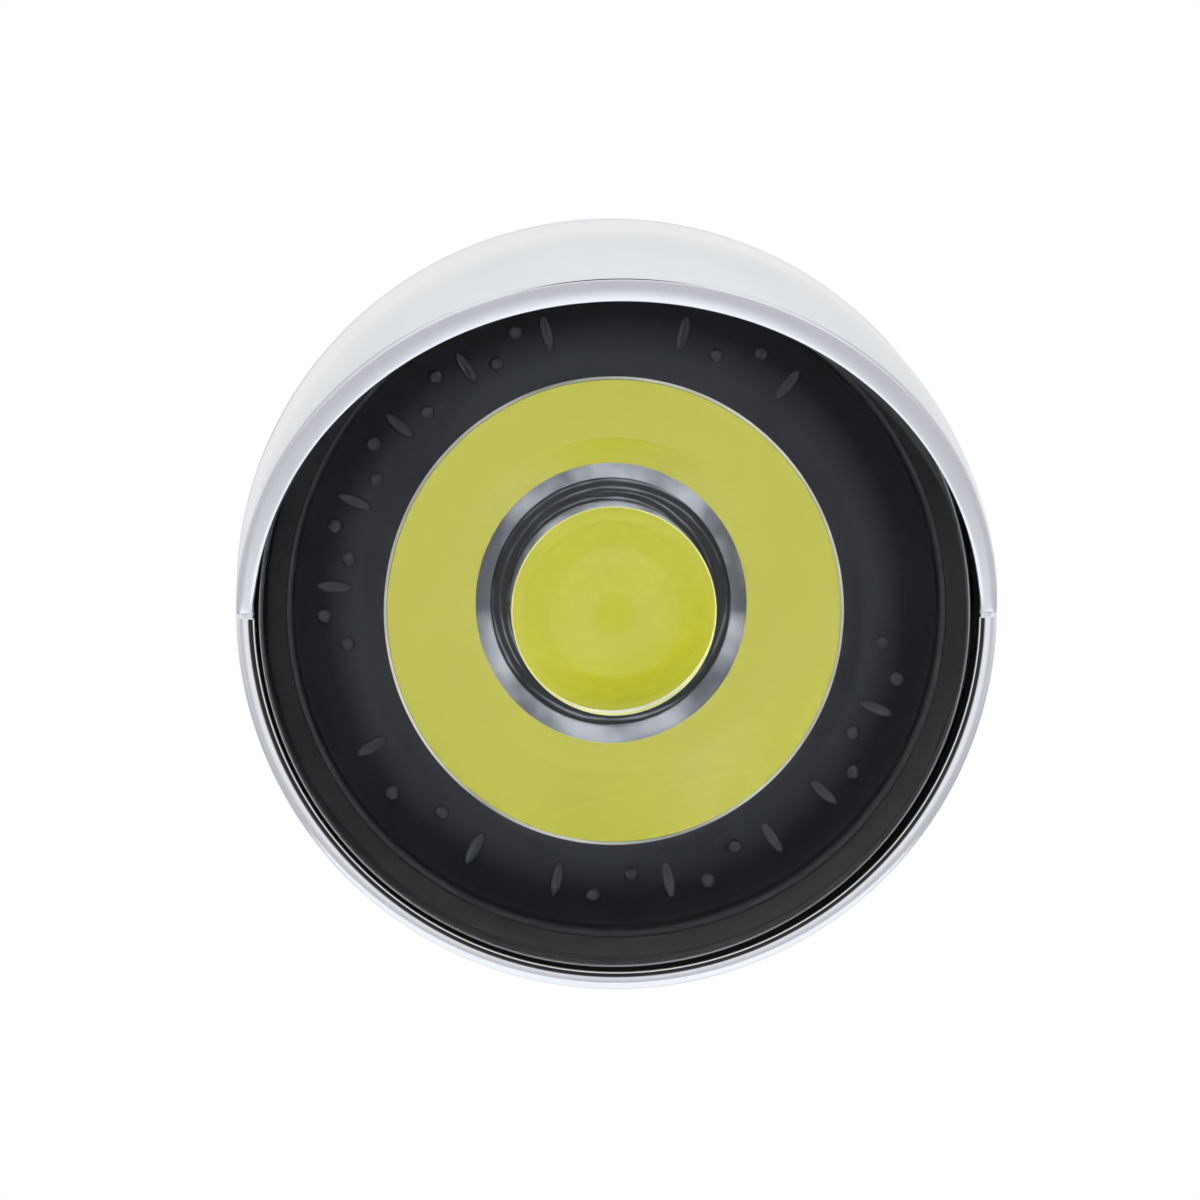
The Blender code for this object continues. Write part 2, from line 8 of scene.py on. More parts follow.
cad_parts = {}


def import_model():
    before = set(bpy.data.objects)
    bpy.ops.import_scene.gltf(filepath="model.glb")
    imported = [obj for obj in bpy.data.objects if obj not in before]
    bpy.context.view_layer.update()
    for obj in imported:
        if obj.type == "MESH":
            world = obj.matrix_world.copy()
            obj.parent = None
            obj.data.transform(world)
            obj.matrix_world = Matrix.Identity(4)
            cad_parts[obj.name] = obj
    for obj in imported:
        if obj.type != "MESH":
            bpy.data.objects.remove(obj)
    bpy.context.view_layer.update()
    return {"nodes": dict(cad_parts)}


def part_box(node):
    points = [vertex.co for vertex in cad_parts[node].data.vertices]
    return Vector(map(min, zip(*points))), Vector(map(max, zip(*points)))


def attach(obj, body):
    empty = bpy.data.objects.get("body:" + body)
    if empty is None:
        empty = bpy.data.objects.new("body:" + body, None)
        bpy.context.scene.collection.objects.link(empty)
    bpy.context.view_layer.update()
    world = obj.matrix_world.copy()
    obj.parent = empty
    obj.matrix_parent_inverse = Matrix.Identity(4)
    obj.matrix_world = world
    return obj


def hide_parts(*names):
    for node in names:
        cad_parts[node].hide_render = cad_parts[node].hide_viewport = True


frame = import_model()

MM = 0.001


# Places, some read from the frame and the rest given ----------------------------------------------
# The lamp's own axes are used below: x to the right, y up, z forward out of the lens, in millimetres.

def span(node):
    """A node's lowest and highest corners in the lamp's own axes and millimetres."""
    low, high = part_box(node)
    return (Vector((low.x, low.z, -high.y)) / MM, Vector((high.x, high.z, -low.y)) / MM)


def world(x, y, z):
    """A point of the lamp's own axes as Blender has it, in metres."""
    return (x * MM, -z * MM, y * MM)


def around(count):
    """The angles of a full turn in equal steps."""
    return [2 * math.pi * k / count for k in range(count)]


def on_circle(radius, angle, z):
    return (radius * math.cos(angle), radius * math.sin(angle), z)


hood_low, hood_high = span("hood_shell")
rear_low, rear_high = span("rear_shell")
lens_high = span("lens_collimator")[1]
carrier_low, carrier_high = span("lens_carrier")
seal_low, seal_high = span("lens_seal")
gasket_low, gasket_high = span("shell_gasket")
phosphor_low, phosphor_high = span("led_phosphor")
package_low, package_high = span("led_package")
dome_low, dome_high = span("led_dome")
stud_low, stud_high = span("mounting_stud")
pad_low, pad_high = span("mounting_pad")
washer_low, washer_high = span("flat_washer")
spring_low, spring_high = span("spring_washer")
nut_low, nut_high = span("hex_nut")
grommet_low = span("wire_grommet")[0]

# Housing
LENS_FRONT = lens_high.z
RIM_Z = LENS_FRONT - 0.3        # the lower rim's plane; depths are measured back from it
RIM_R = hood_high.x
BORE_R = RIM_R - 0.75
BODY_R = 16.0
STRAIGHT = 9.5                  # depth to which the body is nearly a cylinder
TAIL = 18.5                     # half length of the ellipse behind it
HOOD_TILT = math.radians(25.3)
CORE_DEPTH = 1.15               # the hood's inner ball is centred this far behind its outer one
NOTCH = 0.17                    # chamfer where the hood's edge meets the lower rim
NOTCH_Y = -0.13                 # the notch's lowest point, just under the axis
SEAM_ROUND = 0.2
SHOULDER = 5.9                  # depth where the hood shell's bore gets narrower
SHOULDER_R = 14.6
SEAM_Z = hood_low.z
JOINT = 10.0                    # depth of the rear shell's front edge, behind the gasket
SPIGOT_R = 14.35                # its spigot reaches forwards into the hood shell
SEAT_Z = rear_low.z

# Lens with its collimator
LENS_R = lens_high.x
LENS_ROUND = 0.12
FLANGE = 1.6
COLLIMATOR_R = 9.6
POCKET_R = 4.35
POCKET_MOUTH_R = 4.65
FOOT_R = 5.8
LED_Z = phosphor_high.z
POCKET_CEILING = 8.6            # heights above the LED's phosphor
POCKET_MOUTH = 1.7
CENTRE_BULGE = 1.3
ACRYLIC = 1.49                  # refractive index
LENS_SHIFT = (-0.11, -0.05)     # the lens sits a little left and low in its bore
TALLER = 0.021                  # and its inner shapes are slightly taller than they are wide

# Holder
HOLDER_R = 15.12
HOLDER_NECK_R = 14.1
NECK = 5.7                      # depth where the holder gets narrower
FACE_Z = RIM_Z - 3.4            # its dark face round the collimator
LEDGE_R = 13.6                  # radius of the step up from the face to the ledge

# Mount
STUD_R = 4.0
STUD_BORE_R = 2.2
STUD_FLANGE_R = 5.6
THREAD_PITCH = 1.0
THREAD_DEPTH = 0.6
WASHER_BORE_R = 4.25
NUT_FLAT = 6.0                  # from the nut's axis to each flat
NUT_BORE_R = 4.15
NUT_FACE_R = 5.78               # where the cone on its corners starts


# Mesh building ------------------------------------------------------------------------------------

def grid_object(name, rows, close_rows, close_columns, look, body, collapse=()):
    """Quads over rows of points, each row the same length. A closed direction joins its last to its first.

    collapse lists row indices whose points are one point on the axis."""
    verts = []
    index = []
    for r, row in enumerate(rows):
        if r in collapse:
            verts.append(world(*row[0]))
            index.append([len(verts) - 1] * len(row))
        else:
            first = len(verts)
            verts.extend(world(*p) for p in row)
            index.append(list(range(first, first + len(row))))
    count = len(rows[0])
    faces = []
    last_row = len(rows) if close_rows else len(rows) - 1
    last_column = count if close_columns else count - 1
    for r in range(last_row):
        a, b = index[r], index[(r + 1) % len(rows)]
        for c in range(last_column):
            d = (c + 1) % count
            corners = [a[c], b[c], b[d], a[d]]
            unique = list(dict.fromkeys(corners))
            if len(unique) > 2:
                faces.append(unique)
    mesh = bpy.data.meshes.new(name)
    mesh.from_pydata(verts, [], faces)
    mesh.validate()
    mesh.shade_smooth()
    obj = bpy.data.objects.new(name, mesh)
    bpy.context.scene.collection.objects.link(obj)
    mesh.materials.append(look)
    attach(obj, body)
    return obj


def lathe(name, profile, look, body, segments=256, sharp=25, shape=None):
    """A closed profile of (radius, z) points turned about the lamp's axis, top to bottom on its outside.

    shape, if given, moves each point (x, y, z) a little."""
    collapse = [i for i, (radius, z) in enumerate(profile) if radius == 0]
    rows = [[on_circle(radius, a, z) for a in around(segments)] for radius, z in profile]
    if shape:
        rows = [[shape(*point) for point in row] for row in rows]
    on_axis = profile[0][0] == 0 and profile[-1][0] == 0
    obj = grid_object(name, rows, not on_axis, True, look, body, collapse)
    obj.data.set_sharp_from_angle(angle=math.radians(sharp))
    return obj


def bend(start, corner, end, steps):
    """Points of a smooth curve that leaves start towards corner and reaches end, without start itself."""
    shares = [k / steps for k in range(1, steps + 1)]
    return [tuple(start * (1 - s) ** 2 + corner * 2 * s * (1 - s) + end * s ** 2) for s in shares]


def rounded(profile, radii, steps=4):
    """A closed profile with each corner rounded by its radius; 0 leaves it."""
    made = []
    count = len(profile)
    for i, (point, radius) in enumerate(zip(profile, radii)):
        here = Vector(point)
        if radius == 0:
            made.append(tuple(here))
            continue
        before = Vector(profile[i - 1]) - here
        after = Vector(profile[(i + 1) % count]) - here
        reach = min(radius, before.length * 0.49, after.length * 0.49)
        start = here + before.normalized() * reach
        end = here + after.normalized() * reach
        made.append(tuple(start))
        made += bend(start, here, end, steps)
    return made


def body_radius(at):
    """Outer radius of the housing at a depth behind the lower rim."""
    if at <= 0:
        return math.sqrt(max(0.0, RIM_R ** 2 - at ** 2))
    if at <= STRAIGHT:
        return BODY_R + (RIM_R - BODY_R) * (1 - at / STRAIGHT)
    return BODY_R * math.sqrt(1 - ((at - STRAIGHT) / TAIL) ** 2)


# Materials ----------------------------------------------------------------------------------------

def new_material(name):
    made = bpy.data.materials.new(name)
    made.use_nodes = True
    return made, made.node_tree, made.node_tree.nodes["Principled BSDF"]


def noise(tree, scale, detail):
    coords = tree.nodes.new("ShaderNodeTexCoord")
    texture = tree.nodes.new("ShaderNodeTexNoise")
    texture.inputs["Scale"].default_value = scale
    texture.inputs["Detail"].default_value = detail
    tree.links.new(coords.outputs["Object"], texture.inputs["Vector"])
    return texture.outputs["Fac"]


def axis_distance(tree):
    """Distance from the lamp's axis in metres, on a piece that is built about it."""
    coords = tree.nodes.new("ShaderNodeTexCoord")
    flat = tree.nodes.new("ShaderNodeVectorMath")
    flat.operation = "MULTIPLY"
    flat.inputs[1].default_value = (1, 0, 1)
    length = tree.nodes.new("ShaderNodeVectorMath")
    length.operation = "LENGTH"
    tree.links.new(coords.outputs["Object"], flat.inputs[0])
    tree.links.new(flat.outputs["Vector"], length.inputs[0])
    return length.outputs["Value"]


def ramp(tree, source, stops):
    made = tree.nodes.new("ShaderNodeValToRGB")
    while len(made.color_ramp.elements) < len(stops):
        made.color_ramp.elements.new(0.5)
    for element, (at, colour) in zip(made.color_ramp.elements, stops):
        element.position = at
        element.color = (*colour, 1.0)
    tree.links.new(source, made.inputs["Fac"])
    return made.outputs["Color"]


def remap(tree, source, low, high, start=0.0, end=1.0, kind="LINEAR"):
    """source's range from low to high as a range from start to end."""
    made = tree.nodes.new("ShaderNodeMapRange")
    made.interpolation_type = kind
    made.inputs["From Min"].default_value = low
    made.inputs["From Max"].default_value = high
    made.inputs["To Min"].default_value = start
    made.inputs["To Max"].default_value = end
    tree.links.new(source, made.inputs["Value"])
    return made.outputs["Result"]


def blend(tree, factor, first, second):
    """A mix of two colours, each a colour or the output of a node."""
    made = tree.nodes.new("ShaderNodeMix")
    made.data_type = "RGBA"
    tree.links.new(factor, made.inputs["Factor"])
    for value, socket in ((first, made.inputs["A"]), (second, made.inputs["B"])):
        if isinstance(value, tuple):
            socket.default_value = (*value, 1.0)
        else:
            tree.links.new(value, socket)
    return made.outputs["Result"]


def bump(tree, source, shader, strength, distance):
    made = tree.nodes.new("ShaderNodeBump")
    made.inputs["Strength"].default_value = strength
    made.inputs["Distance"].default_value = distance
    tree.links.new(source, made.inputs["Height"])
    tree.links.new(made.outputs["Normal"], shader.inputs["Normal"])


def metal(name, low, high, roughness, grain=900, depth=0.00001):
    made, tree, shader = new_material(name)
    texture = noise(tree, grain, 4.0)
    tree.links.new(ramp(tree, texture, [(0.3, low), (0.7, high)]), shader.inputs["Base Color"])
    tree.links.new(remap(tree, texture, 0.0, 1.0, *roughness), shader.inputs["Roughness"])
    shader.inputs["Metallic"].default_value = 1.0
    if depth:
        bump(tree, texture, shader, 0.3, depth)
    return made


def plastic(name, low, high, roughness, grain=700, depth=0.00002, ior=1.5):
    made, tree, shader = new_material(name)
    texture = noise(tree, grain, 5.0)
    tree.links.new(ramp(tree, texture, [(0.3, low), (0.7, high)]), shader.inputs["Base Color"])
    tree.links.new(remap(tree, texture, 0.0, 1.0, *roughness), shader.inputs["Roughness"])
    shader.inputs["IOR"].default_value = ior
    bump(tree, texture, shader, 0.25, depth)
    return made


def clear(name, colour, ior):
    made, tree, shader = new_material(name)
    tints = ramp(tree, noise(tree, 160, 2.0), [(0.3, tuple(c - 0.012 for c in colour)), (0.7, colour)])
    tree.links.new(tints, shader.inputs["Base Color"])
    shader.inputs["Roughness"].default_value = 0.0
    shader.inputs["IOR"].default_value = ior
    shader.inputs["Transmission Weight"].default_value = 1.0
    return made


PALE_WITHIN, PALE_UNTIL = 1.0 * MM, 1.5 * MM        # the phosphor is paler near its middle
PALE_YELLOW, PALE_SHARE = (0.50, 0.49, 0.16), 0.4
FACE_FROM, FACE_TO = 9.5 * MM, 15.2 * MM            # radii between which the dark face's painted light and shade changes


def phosphor_material():
    made, tree, shader = new_material("phosphor")
    stops = [(0.28, (0.46, 0.46, 0.030)), (0.55, (0.51, 0.51, 0.045)), (0.74, (0.56, 0.55, 0.12))]
    colours = ramp(tree, noise(tree, 420, 2.0), stops)
    paler = remap(tree, axis_distance(tree), PALE_WITHIN, PALE_UNTIL, PALE_SHARE, 0.0)
    faded = blend(tree, paler, colours, PALE_YELLOW)
    tree.links.new(faded, shader.inputs["Base Color"])
    tree.links.new(faded, shader.inputs["Emission Color"])
    # Painted light: the phosphor glows although the lamp is off, standing for the light that reaches it
    # through the collimator.
    shader.inputs["Emission Strength"].default_value = 0.85
    shader.inputs["Roughness"].default_value = 0.6
    return made


def face_material():
    """The dark holder, its colour and shine set by the radius as painted light and shade: lighter and
    shinier round the collimator and on the ledge, darker and less shiny in the band between; the ledge's
    lighter tone makes up for the shade it sits in.
    """
    made, tree, shader = new_material("face_black")
    share = remap(tree, axis_distance(tree), FACE_FROM, FACE_TO)
    # Painted light and shade: a lighter colour round the collimator and on the ledge, a darker one in the
    # band between.
    painted_light_inner, painted_shade_band, ledge = (0.038, 0.042, 0.047), (0.012, 0.0135, 0.017), (0.043, 0.049, 0.053)
    zones = ((0.0, painted_light_inner, 0.5), (0.22, painted_light_inner, 0.5), (0.50, painted_shade_band, 0.12), (0.735, painted_shade_band, 0.12),
             (0.75, ledge, 0.55), (1.0, ledge, 0.55))
    colours = ramp(tree, share, [(at, colour) for at, colour, shine in zones])
    tree.links.new(colours, shader.inputs["Base Color"])
    shines = ramp(tree, share, [(at, (shine,) * 3) for at, colour, shine in zones])
    tree.links.new(shines, shader.inputs["Specular IOR Level"])
    tree.links.new(remap(tree, noise(tree, 250, 3.0), 0.0, 1.0, 0.26, 0.36), shader.inputs["Roughness"])
    return made


def glowing(name, low, high, strength, scale, pitch=0.0):
    """A surface inside the optics, with a little light of its own to stand for what reaches it.

    With a pitch, in millimetres, its light comes in rings about the axis."""
    made, tree, shader = new_material(name)
    source = noise(tree, scale, 2.0)
    if pitch:
        waves = tree.nodes.new("ShaderNodeTexWave")
        waves.wave_type = "RINGS"
        waves.rings_direction = "Y"
        waves.inputs["Scale"].default_value = math.pi / 10 / (pitch * MM)
        waves.inputs["Distortion"].default_value = 1.5
        waves.inputs["Detail Scale"].default_value = 0.5
        tree.links.new(tree.nodes["Texture Coordinate"].outputs["Object"], waves.inputs["Vector"])
        product = tree.nodes.new("ShaderNodeMath")
        product.operation = "MULTIPLY"
        tree.links.new(waves.outputs["Fac"], product.inputs[0])
        tree.links.new(source, product.inputs[1])
        source = product.outputs["Value"]
    colours = ramp(tree, source, [(0.35, low), (0.65, high)])
    tree.links.new(colours, shader.inputs["Base Color"])
    tree.links.new(colours, shader.inputs["Emission Color"])
    shader.inputs["Emission Strength"].default_value = strength
    shader.inputs["Roughness"].default_value = 0.5
    return made


chrome = metal("chrome", (0.82, 0.835, 0.85), (0.86, 0.87, 0.88), (0.055, 0.075), 300, depth=0)
acrylic = clear("clear_acrylic", (0.985, 0.99, 0.99), ACRYLIC)
warm_acrylic = clear("warm_acrylic", (0.985, 0.985, 0.34), ACRYLIC)
silicone = clear("clear_silicone", (0.99, 0.99, 0.97), 1.41)
black = plastic("black_moulding", (0.026, 0.027, 0.031), (0.034, 0.036, 0.041), (0.28, 0.36), 300, 0.000004)
face_black = face_material()
gloss_black = plastic("gloss_black", (0.042, 0.046, 0.053), (0.056, 0.060, 0.068), (0.08, 0.13), 300,
                      0.000004)
# A dull near-black that paints the shade in the gap round the lens.
gap_painted_shade_black = plastic("gap_painted_shade_black", (0.003, 0.003, 0.003), (0.005, 0.005, 0.005), (0.75, 0.9), ior=1.25)
rubber = plastic("black_rubber", (0.012, 0.012, 0.013), (0.022, 0.022, 0.023), (0.55, 0.75))
white = plastic("white_moulding", (0.72, 0.72, 0.70), (0.80, 0.80, 0.78), (0.35, 0.5))
yellow = phosphor_material()
zinc = metal("zinc_plate", (0.55, 0.56, 0.57), (0.68, 0.68, 0.69), (0.22, 0.38), 1200)
copper = metal("copper", (0.78, 0.42, 0.26), (0.86, 0.52, 0.34), (0.2, 0.35))
tinned = metal("tinned", (0.66, 0.66, 0.65), (0.76, 0.76, 0.75), (0.2, 0.35))
aluminium = metal("turned_aluminium", (0.62, 0.63, 0.65), (0.74, 0.75, 0.76), (0.25, 0.4))
board_white = plastic("white_mask", (0.74, 0.75, 0.74), (0.80, 0.81, 0.80), (0.3, 0.4))
board_green = plastic("green_mask", (0.015, 0.15, 0.06), (0.02, 0.19, 0.08), (0.3, 0.45))
grey_pad = plastic("thermal_grey", (0.30, 0.32, 0.35), (0.36, 0.38, 0.41), (0.7, 0.85))
# The holder's ring under the collimator's foot glows: painted light.
foot_ring_painted_light = glowing("foot_ring_painted_light", (0.11, 0.12, 0.135), (0.42, 0.44, 0.47), 0.65, 420)
# A dark ring crossed by glowing rings: painted shade of the gap inside the foot ring, with painted light
# streaks.
collar_shade_and_light_look = glowing("collar", (0.024, 0.026, 0.029), (0.20, 0.21, 0.23), 0.6, 420, 0.31)
# A glowing line at the collimator's flange: a painted highlight.
edge_painted_highlight_look = glowing("edge_line", (0.20, 0.21, 0.18), (0.50, 0.50, 0.44), 0.7, 120)
# A glowing line round the lens's outer edge: a painted highlight.
rim_painted_highlight = glowing("rim_painted_highlight", (0.05, 0.055, 0.057), (0.13, 0.14, 0.145), 0.7, 90)
# A glowing line round the pocket's ceiling: a painted highlight.
pocket_painted_highlight_look = glowing("pocket_painted_highlight_look", (0.45, 0.45, 0.30), (0.70, 0.70, 0.58), 0.8, 160)
chip_black = plastic("chip_epoxy", (0.02, 0.02, 0.02), (0.035, 0.035, 0.035), (0.4, 0.6))
tantalum = plastic("tantalum_epoxy", (0.70, 0.38, 0.04), (0.78, 0.44, 0.06), (0.35, 0.5))


# Chrome hood --------------------------------------------------------------------------------------

def edge_height(y):
    """How far ahead of the lower rim the shell's edge is, at a height y above the axis."""
    if y <= NOTCH_Y - NOTCH:
        return 0.0
    if y <= NOTCH_Y:
        return NOTCH_Y - NOTCH - y
    return (y - NOTCH_Y) * math.tan(HOOD_TILT) - NOTCH


def cut_point(radius_at, angle):
    """Height z above the rim plane where a surface of revolution meets the edge at this angle."""
    low, high = -0.5, 12.0
    for _ in range(40):
        middle = (low + high) / 2
        if edge_height(radius_at(middle) * math.sin(angle)) > middle:
            low = middle
        else:
            high = middle
    return (low + high) / 2


def outer_radius(z):
    """Radius of the housing's outside at a height above the rim plane."""
    return body_radius(-z)


def inner_radius(z):
    """The bore, and ahead of it the inside of the hood's ball."""
    if z <= -CORE_DEPTH:
        return BORE_R
    return math.sqrt(max(0.0, BORE_R ** 2 - (z + CORE_DEPTH) ** 2))


def hood_columns():
    """Angles round the axis, closer together at the notches on both sides."""
    angles = around(288)
    for side, turn in ((0.0, -1), (math.pi, 1)):
        angles += [side + turn * math.radians(0.77 + 0.06 * k) for k in range(-14, 15)]
    return sorted(set(round(a % (2 * math.pi), 6) for a in angles))


def hood_profile(angle):
    """One column of the hood shell's skin, from the seam outside, over the lip, to the seam inside."""
    seam = SEAM_Z - RIM_Z
    top_outer = cut_point(outer_radius, angle)
    top_inner = cut_point(inner_radius, angle)
    height = RIM_R * math.sin(angle)
    hood = min(1.0, max(0.0, (height - NOTCH_Y) / 0.3))
    near_notch = max(0.0, 1 - abs(height) / 5.0)
    outer_round = 0.57 - (0.33 - 0.12 * near_notch) * hood
    inner_round = 0.10 + hood * (0.03 + 0.14 * near_notch)
    crown = 0.055 * max(0.0, math.sin(angle)) ** 1.7
    outer_seam = outer_radius(seam)
    shares = [k / 4 for k in range(4)]
    made = [(outer_seam - SEAM_ROUND * (1 - s) ** 2, seam + SEAM_ROUND * s ** 2) for s in shares]
    skin_rows = 30
    skin_length = top_outer - outer_round - seam - SEAM_ROUND
    for k in range(skin_rows + 1):
        z = seam + SEAM_ROUND + skin_length * k / skin_rows
        made.append((outer_radius(z), z))
    outer_corner = Vector((outer_radius(top_outer), top_outer))
    inner_corner = Vector((inner_radius(top_inner), top_inner))
    across = (inner_corner - outer_corner).normalized()
    land = outer_corner + across * outer_round
    made += bend(Vector(made[-1]), outer_corner, land, 8)
    flat = inner_corner - across * inner_round - land
    behind = Vector((-across.y, across.x))
    shares = [k / 8 for k in range(1, 9)]
    made += [tuple(land + flat * s + behind * crown * s ** 2) for s in shares]
    edge = land + flat + behind * crown
    inner_corner = edge + (flat + behind * crown * 2).normalized() * inner_round
    low = inner_corner.y - inner_round * 0.8
    inner_corner.x = max(inner_corner.x, inner_radius(inner_corner.y))
    made += bend(edge, inner_corner, Vector((inner_radius(low), low)), 6)
    bore_rows = 24
    for k in range(1, bore_rows + 1):
        z = low - (SHOULDER + low) * k / bore_rows
        made.append((inner_radius(z), z))
    made += [(SHOULDER_R, -SHOULDER), (SHOULDER_R, seam), (outer_seam - SEAM_ROUND, seam)]
    return made


def hood_shell():
    angles = hood_columns()
    columns = [hood_profile(a) for a in angles]
    rows = [[on_circle(radius, a, RIM_Z + z) for a, (radius, z) in zip(angles, row)]
            for row in zip(*columns)]
    obj = grid_object("chrome_hood", list(reversed(rows)), True, True, chrome, "lamp")
    obj.data.set_sharp_from_angle(angle=math.radians(40))
    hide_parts("hood_shell")


def rear_shell():
    top = RIM_Z - JOINT
    edge = 0.15
    body_end = 24.6
    depths = [JOINT + (body_end - JOINT) * (k / 40) for k in range(2, 41)]
    outside = [(SPIGOT_R, rear_high.z), (SPIGOT_R, top), (body_radius(JOINT) - edge, top),
               (body_radius(JOINT + 0.02), top - edge)]
    outside += [(body_radius(at), RIM_Z - at) for at in depths]
    outside += [(7.2, SEAT_Z + 0.1), (7.0, SEAT_Z)]
    floor = SEAT_Z + 1.2
    hole_r, tail_r, cavity_r = 4.3, 12.0, 13.35
    ledge = RIM_Z - 14.5
    inside = [(hole_r, SEAT_Z), (hole_r, floor), (7.0, floor), (9.9, RIM_Z - 20.5), (tail_r, RIM_Z - 16.9),
              (tail_r, ledge), (cavity_r, ledge), (cavity_r, rear_high.z)]
    obj = lathe("chrome_body", outside + inside, chrome, "lamp", 288, 35)
    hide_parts("rear_shell")


# Lens ---------------------------------------------------------------------------------------------

def landing(radius, height, tilt):
    """Where a ray from straight ahead lands on the LED's plane, off a wall tilted from the axis.

    The wall sends it inwards at twice the tilt; the pocket's sloping side then bends it down."""
    slope = (POCKET_MOUTH_R - POCKET_R) / (POCKET_CEILING - POCKET_MOUTH)
    draft = math.atan(slope)
    run = math.tan(2 * tilt)
    fall = (radius - POCKET_R - slope * (POCKET_CEILING - height)) / (run + slope)
    bent = ACRYLIC * math.sin(math.pi / 2 - 2 * tilt - draft)
    if bent >= 1:
        return math.inf
    return radius - run * fall - (height - fall) / math.tan(draft + math.asin(bent))


def collimator_wall(steps):
    """The wall's points from the flange down, each stretch tilted so that rays land on the axis."""
    radius, height = COLLIMATOR_R, LENS_FRONT - FLANGE - LED_Z
    step = (height - POCKET_MOUTH) / steps
    wall = [(radius, LED_Z + height)]
    while height - step > POCKET_MOUTH and radius > FOOT_R:
        low, high = math.radians(12), math.radians(44)
        for _ in range(40):
            tilt = (low + high) / 2
            if landing(radius, height, tilt) > 0:
                low = tilt
            else:
                high = tilt
        radius -= math.tan(low) * step
        height -= step
        wall.append((radius, LED_Z + height))
    return wall


def seated(x, y, z):
    """Where a point of the lens goes once the lens is seated: the collimator's foot is stretched twice."""
    radius = math.hypot(x, y)
    inner = min(1.0, max(0.0, (12.0 - radius) / 2.0))
    low = min(1.0, max(0.0, 1 - (z - LED_Z - POCKET_MOUTH) / 2.5))
    foot = low * min(1.0, max(0.0, (radius - 4.7) / 0.6))
    return (x + LENS_SHIFT[0], y * (1 + TALLER * inner * (1 + foot)) + LENS_SHIFT[1], z)


def lens():
    """The clear moulding. The bulge over the LED is a little warmer, from the phosphor's light in it."""
    wall = collimator_wall(60)
    mouth, ceiling = LED_Z + POCKET_MOUTH, LED_Z + POCKET_CEILING
    round_r, round_z = LENS_R - LENS_ROUND, LENS_FRONT - LENS_ROUND
    profile = [(0.0, LENS_FRONT), (6.0, LENS_FRONT), (12.0, LENS_FRONT)]
    profile += [(round_r + LENS_ROUND * math.sin(a), round_z + LENS_ROUND * math.cos(a))
                for a in (math.radians(15 * k) for k in range(7))]
    profile += [(LENS_R, LENS_FRONT - FLANGE)]
    profile += wall
    profile += [(wall[-1][0] - 0.05, mouth), (POCKET_MOUTH_R, mouth), (POCKET_R, ceiling)]
    steps = 24
    for k in range(1, steps + 1):
        share = 1 - k / steps
        profile.append((POCKET_R * share, ceiling - CENTRE_BULGE * (1 - share ** 2)))
    obj = lathe("clear_lens", profile, acrylic, "lamp", 256, 20, seated)
    obj.data.materials.append(warm_acrylic)
    for face in obj.data.polygons:
        height = -face.center.y / MM - LED_Z
        off_axis = math.hypot(face.center.x, face.center.z) / MM
        if POCKET_CEILING - CENTRE_BULGE - 0.1 < height < POCKET_CEILING and off_axis < POCKET_MOUTH_R:
            face.material_index = 1
    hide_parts("lens_collimator")


def carrier():
    """The dark holder, with a cup that follows the collimator's wall."""
    cup_clearance, cup_thickness = 0.35, 0.9
    wall = [(r + cup_clearance, z) for r, z in collimator_wall(24) if z < RIM_Z - 4.0]
    top, foot = carrier_high.z, carrier_low.z
    back = FACE_Z - cup_thickness
    outside = [(HOLDER_R - 0.15, top), (HOLDER_R, top - 0.15), (HOLDER_R, RIM_Z - NECK),
               (HOLDER_NECK_R, RIM_Z - NECK), (HOLDER_NECK_R, back), (wall[0][0] + 1.3, back)]
    outside += [(r + cup_thickness, z - 0.35) for r, z in wall[3:]]
    outside += [(wall[-1][0] + cup_thickness, foot), (wall[-1][0], foot)]
    inside = list(reversed(wall))
    inside += [(10.15, FACE_Z), (LEDGE_R - 0.2, FACE_Z), (LEDGE_R - 0.05, FACE_Z + 0.06),
               (LEDGE_R, FACE_Z + 0.2), (LEDGE_R, top - 0.14), (LEDGE_R + 0.04, top - 0.04),
               (LEDGE_R + 0.14, top)]
    obj = lathe("black_carrier", outside + inside, face_black, "lamp", 256, 35)
    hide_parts("lens_carrier")


def foot_rings():
    """The holder's ring under the collimator's foot, glowing as painted light, and a dark ring inside it
    that paints the shadowed gap there, with painted light in rings across it.
    """
    top = LED_Z + POCKET_MOUTH - 0.12
    middle, low = top - 0.5, top - 0.9
    profile = rounded([(5.12, top), (6.25, top), (6.25, middle), (5.12, middle)], (0.1, 0.05, 0.05, 0.1), 3)
    lathe("collimator_foot_ring", profile, foot_ring_painted_light, "lamp", 128, 25, seated)
    profile = rounded([(4.15, middle), (5.1, middle), (5.1, low), (4.15, low)], (0.05,) * 4, 3)
    lathe("painted_shade_and_light_collar", profile, collar_shade_and_light_look, "lamp", 128, 25, seated)


